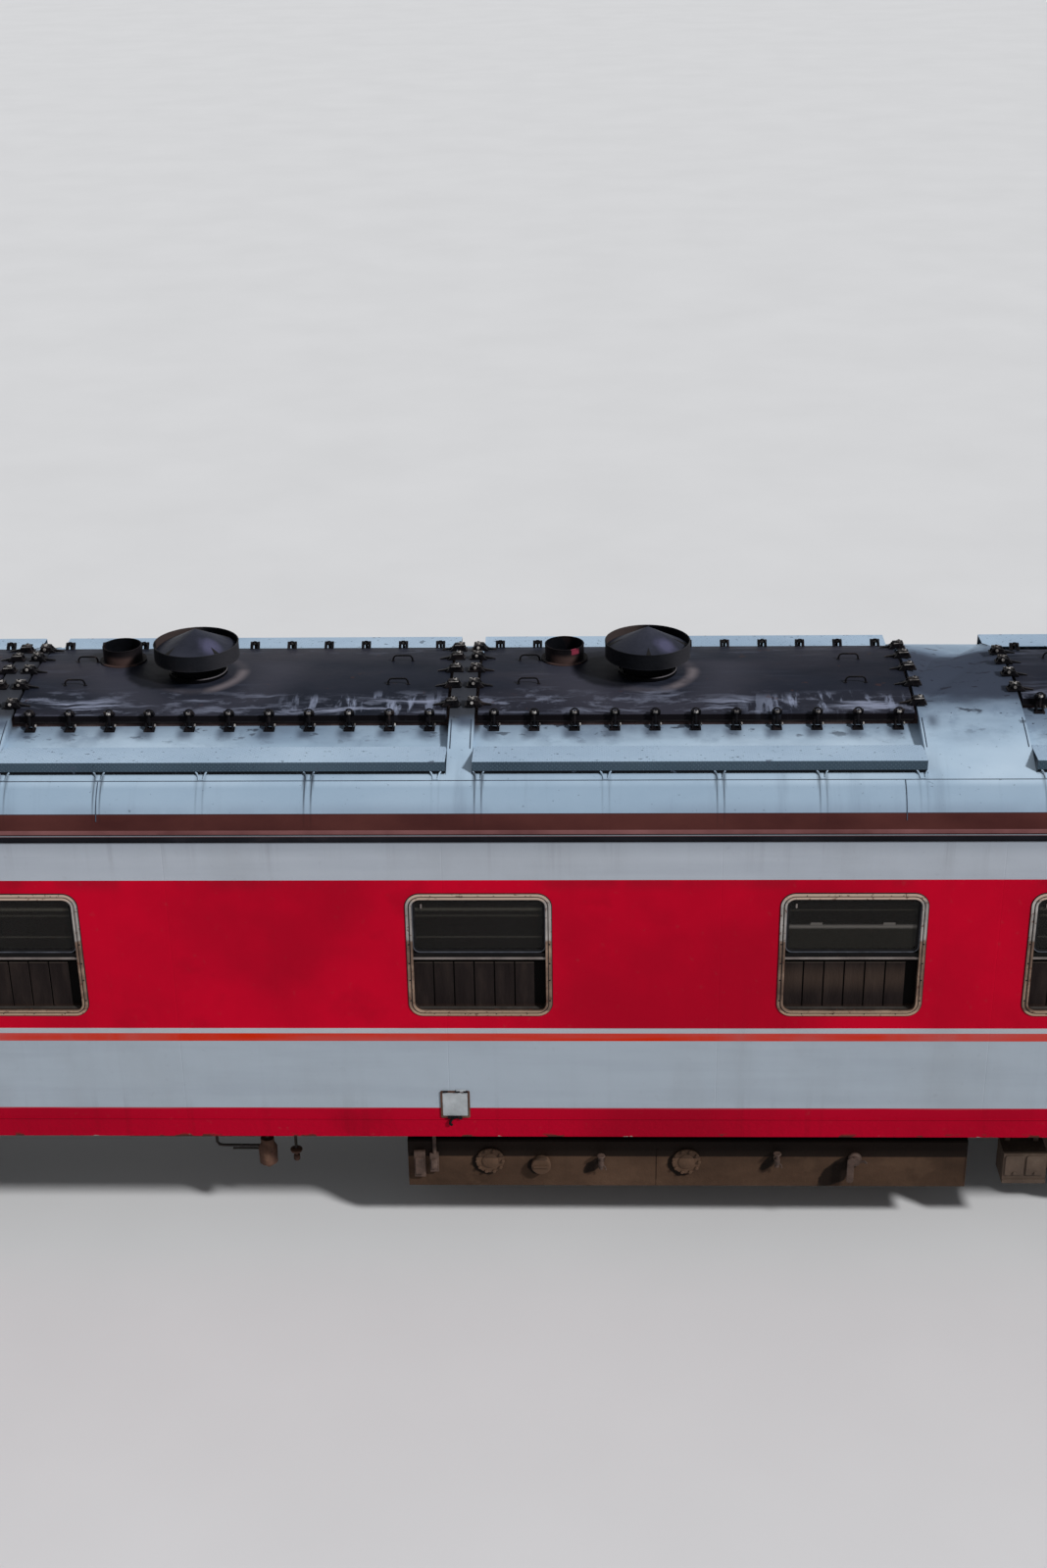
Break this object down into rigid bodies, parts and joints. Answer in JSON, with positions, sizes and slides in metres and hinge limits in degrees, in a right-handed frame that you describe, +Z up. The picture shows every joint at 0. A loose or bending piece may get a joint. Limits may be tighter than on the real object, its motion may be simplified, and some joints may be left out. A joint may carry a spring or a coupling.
{
  "type": "railway generator coach",
  "caption": "Four-axle power coach for a passenger train: striped body with windows, clamped roof hatches, ventilators, louvres, fuel tank and two bogies.",
  "frame": {"origin": "on the floor plane at the lowest points of the wheel flanges, under the middle of the coach", "axes": "+X along the coach to the right of the pictured side, the pictured side faces -Y, +Z up"},
  "size_m": [26.576, 3.257, 4.8278],
  "materials": {
    "red_paint": "satin",
    "roof_paint": "matt",
    "dark_hatch": "satin",
    "black_steel": "satin",
    "frame_paint": "matt",
    "window_frame": "satin",
    "glass": "gloss",
    "screen": "matt",
    "louvre_paint": "satin",
    "rubber": "matt",
    "tank_paint": "matt",
    "machine_paint": "satin",
    "cast_steel": "matt",
    "wheel_steel": "satin",
    "spring_steel": "satin",
    "door_paint": "satin",
    "floor_board": "matt",
    "lamp_glass": "gloss",
    "rail_steel": "satin"
  },
  "bodies": {
    "carbody": {"underframe": "frame_paint", "floor": "floor_board", "side_wall_near": "red_paint", "side_wall_far": "red_paint", "end_wall_front": "red_paint", "end_wall_rear": "red_paint", "roof": "roof_paint", "gutters": "red_paint", "hatch_coamings": "dark_hatch", "hatch_lid_1": "dark_hatch", "hatch_lid_2": "dark_hatch", "hatch_lid_3": "dark_hatch", "hatch_lid_4": "dark_hatch", "hatch_clamps": "black_steel", "roof_ventilators": "black_steel", "exhaust_stubs": "black_steel", "roof_walkways": "roof_paint", "air_conditioner": "roof_paint", "fan_guards": "louvre_paint", "louvres": "louvre_paint", "window_frames": "window_frame", "window_glass": "glass", "window_screens": "screen", "gangway_front": "rubber", "gangway_rear": "rubber", "generator_sets": "machine_paint", "fuel_tank": "tank_paint", "underfloor_boxes": "tank_paint", "air_reservoirs": "frame_paint", "brake_pipe": "frame_paint", "entrance_steps": "frame_paint", "grab_rails": "rail_steel", "tail_lamps": "lamp_glass"},
    "entrance_near_leaf": {"entrance_door_near": "door_paint"},
    "entrance_far_leaf": {"entrance_door_far": "door_paint"},
    "service_near_leaf": {"service_door_near": "door_paint"},
    "service_far_leaf": {"service_door_far": "door_paint"},
    "end_front_leaf": {"end_door_front": "door_paint"},
    "end_rear_leaf": {"end_door_rear": "door_paint"},
    "coupler_front_body": {"coupler_front": "cast_steel"},
    "knuckle_front_body": {"knuckle_front": "cast_steel"},
    "coupler_rear_body": {"coupler_rear": "cast_steel"},
    "knuckle_rear_body": {"knuckle_rear": "cast_steel"},
    "fan_1": {"cooling_fan_1": "louvre_paint"},
    "fan_2": {"cooling_fan_2": "louvre_paint"},
    "bogie_front": {"bogie_frame_front": "cast_steel", "bogie_bolster_front": "cast_steel", "axleboxes_front": "cast_steel", "bogie_springs_front": "spring_steel"},
    "bogie_rear": {"bogie_frame_rear": "cast_steel", "bogie_bolster_rear": "cast_steel", "axleboxes_rear": "cast_steel", "bogie_springs_rear": "spring_steel"},
    "axle_1": {"wheelset_1": "wheel_steel"},
    "axle_2": {"wheelset_2": "wheel_steel"},
    "axle_3": {"wheelset_3": "wheel_steel"},
    "axle_4": {"wheelset_4": "wheel_steel"}
  },
  "joints": [
    {"name": "entrance_near_hinge", "type": "hinge", "parent": "carbody", "child": "entrance_near_leaf", "pos_m": [11.58, -1.4925, 2.285], "axis": [0, 0, 1], "range_deg": [0, 85]},
    {"name": "entrance_far_hinge", "type": "hinge", "parent": "carbody", "child": "entrance_far_leaf", "pos_m": [11.58, 1.4925, 2.285], "axis": [0, 0, -1], "range_deg": [0, 85]},
    {"name": "service_near_hinge", "type": "hinge", "parent": "carbody", "child": "service_near_leaf", "pos_m": [-7.04, -1.5525, 2.285], "axis": [0, 0, -1], "range_deg": [0, 100]},
    {"name": "service_far_hinge", "type": "hinge", "parent": "carbody", "child": "service_far_leaf", "pos_m": [-7.04, 1.5525, 2.285], "axis": [0, 0, 1], "range_deg": [0, 100]},
    {"name": "end_front_hinge", "type": "hinge", "parent": "carbody", "child": "end_front_leaf", "pos_m": [12.69, -0.38, 2.3], "axis": [0, 0, 1], "range_deg": [0, 85]},
    {"name": "end_rear_hinge", "type": "hinge", "parent": "carbody", "child": "end_rear_leaf", "pos_m": [-12.69, 0.38, 2.3], "axis": [0, 0, 1], "range_deg": [0, 85]},
    {"name": "coupler_front_swing", "type": "hinge", "parent": "carbody", "child": "coupler_front_body", "pos_m": [12.3, 0, 0.907], "axis": [0, 0, 1], "range_deg": [-8, 8]},
    {"name": "knuckle_front_pin", "type": "hinge", "parent": "coupler_front_body", "child": "knuckle_front_body", "pos_m": [13.12, 0.105, 0.907], "axis": [0, 0, 1], "range_deg": [0, 45]},
    {"name": "coupler_rear_swing", "type": "hinge", "parent": "carbody", "child": "coupler_rear_body", "pos_m": [-12.3, 0, 0.907], "axis": [0, 0, 1], "range_deg": [-8, 8]},
    {"name": "knuckle_rear_pin", "type": "hinge", "parent": "coupler_rear_body", "child": "knuckle_rear_body", "pos_m": [-13.12, -0.105, 0.907], "axis": [0, 0, 1], "range_deg": [0, 45]},
    {"name": "cooling_fan_1_spin", "type": "hinge", "parent": "carbody", "child": "fan_1", "pos_m": [-11.3, 0, 4.46], "axis": [0, 0, 1], "continuous": true},
    {"name": "cooling_fan_2_spin", "type": "hinge", "parent": "carbody", "child": "fan_2", "pos_m": [-9.7, 0, 4.46], "axis": [0, 0, 1], "continuous": true},
    {"name": "bogie_front_yaw", "type": "hinge", "parent": "carbody", "child": "bogie_front", "pos_m": [9, 0, 0.97], "axis": [0, 0, 1], "range_deg": [-4, 4]},
    {"name": "bogie_rear_yaw", "type": "hinge", "parent": "carbody", "child": "bogie_rear", "pos_m": [-9, 0, 0.97], "axis": [0, 0, 1], "range_deg": [-4, 4]},
    {"name": "wheelset_1_spin", "type": "hinge", "parent": "bogie_front", "child": "axle_1", "pos_m": [10.2, 0, 0.4845], "axis": [0, 1, 0], "continuous": true},
    {"name": "wheelset_2_spin", "type": "hinge", "parent": "bogie_front", "child": "axle_2", "pos_m": [7.8, 0, 0.4845], "axis": [0, 1, 0], "continuous": true},
    {"name": "wheelset_3_spin", "type": "hinge", "parent": "bogie_rear", "child": "axle_3", "pos_m": [-7.8, 0, 0.4845], "axis": [0, 1, 0], "continuous": true},
    {"name": "wheelset_4_spin", "type": "hinge", "parent": "bogie_rear", "child": "axle_4", "pos_m": [-10.2, 0, 0.4845], "axis": [0, 1, 0], "continuous": true}
  ]
}
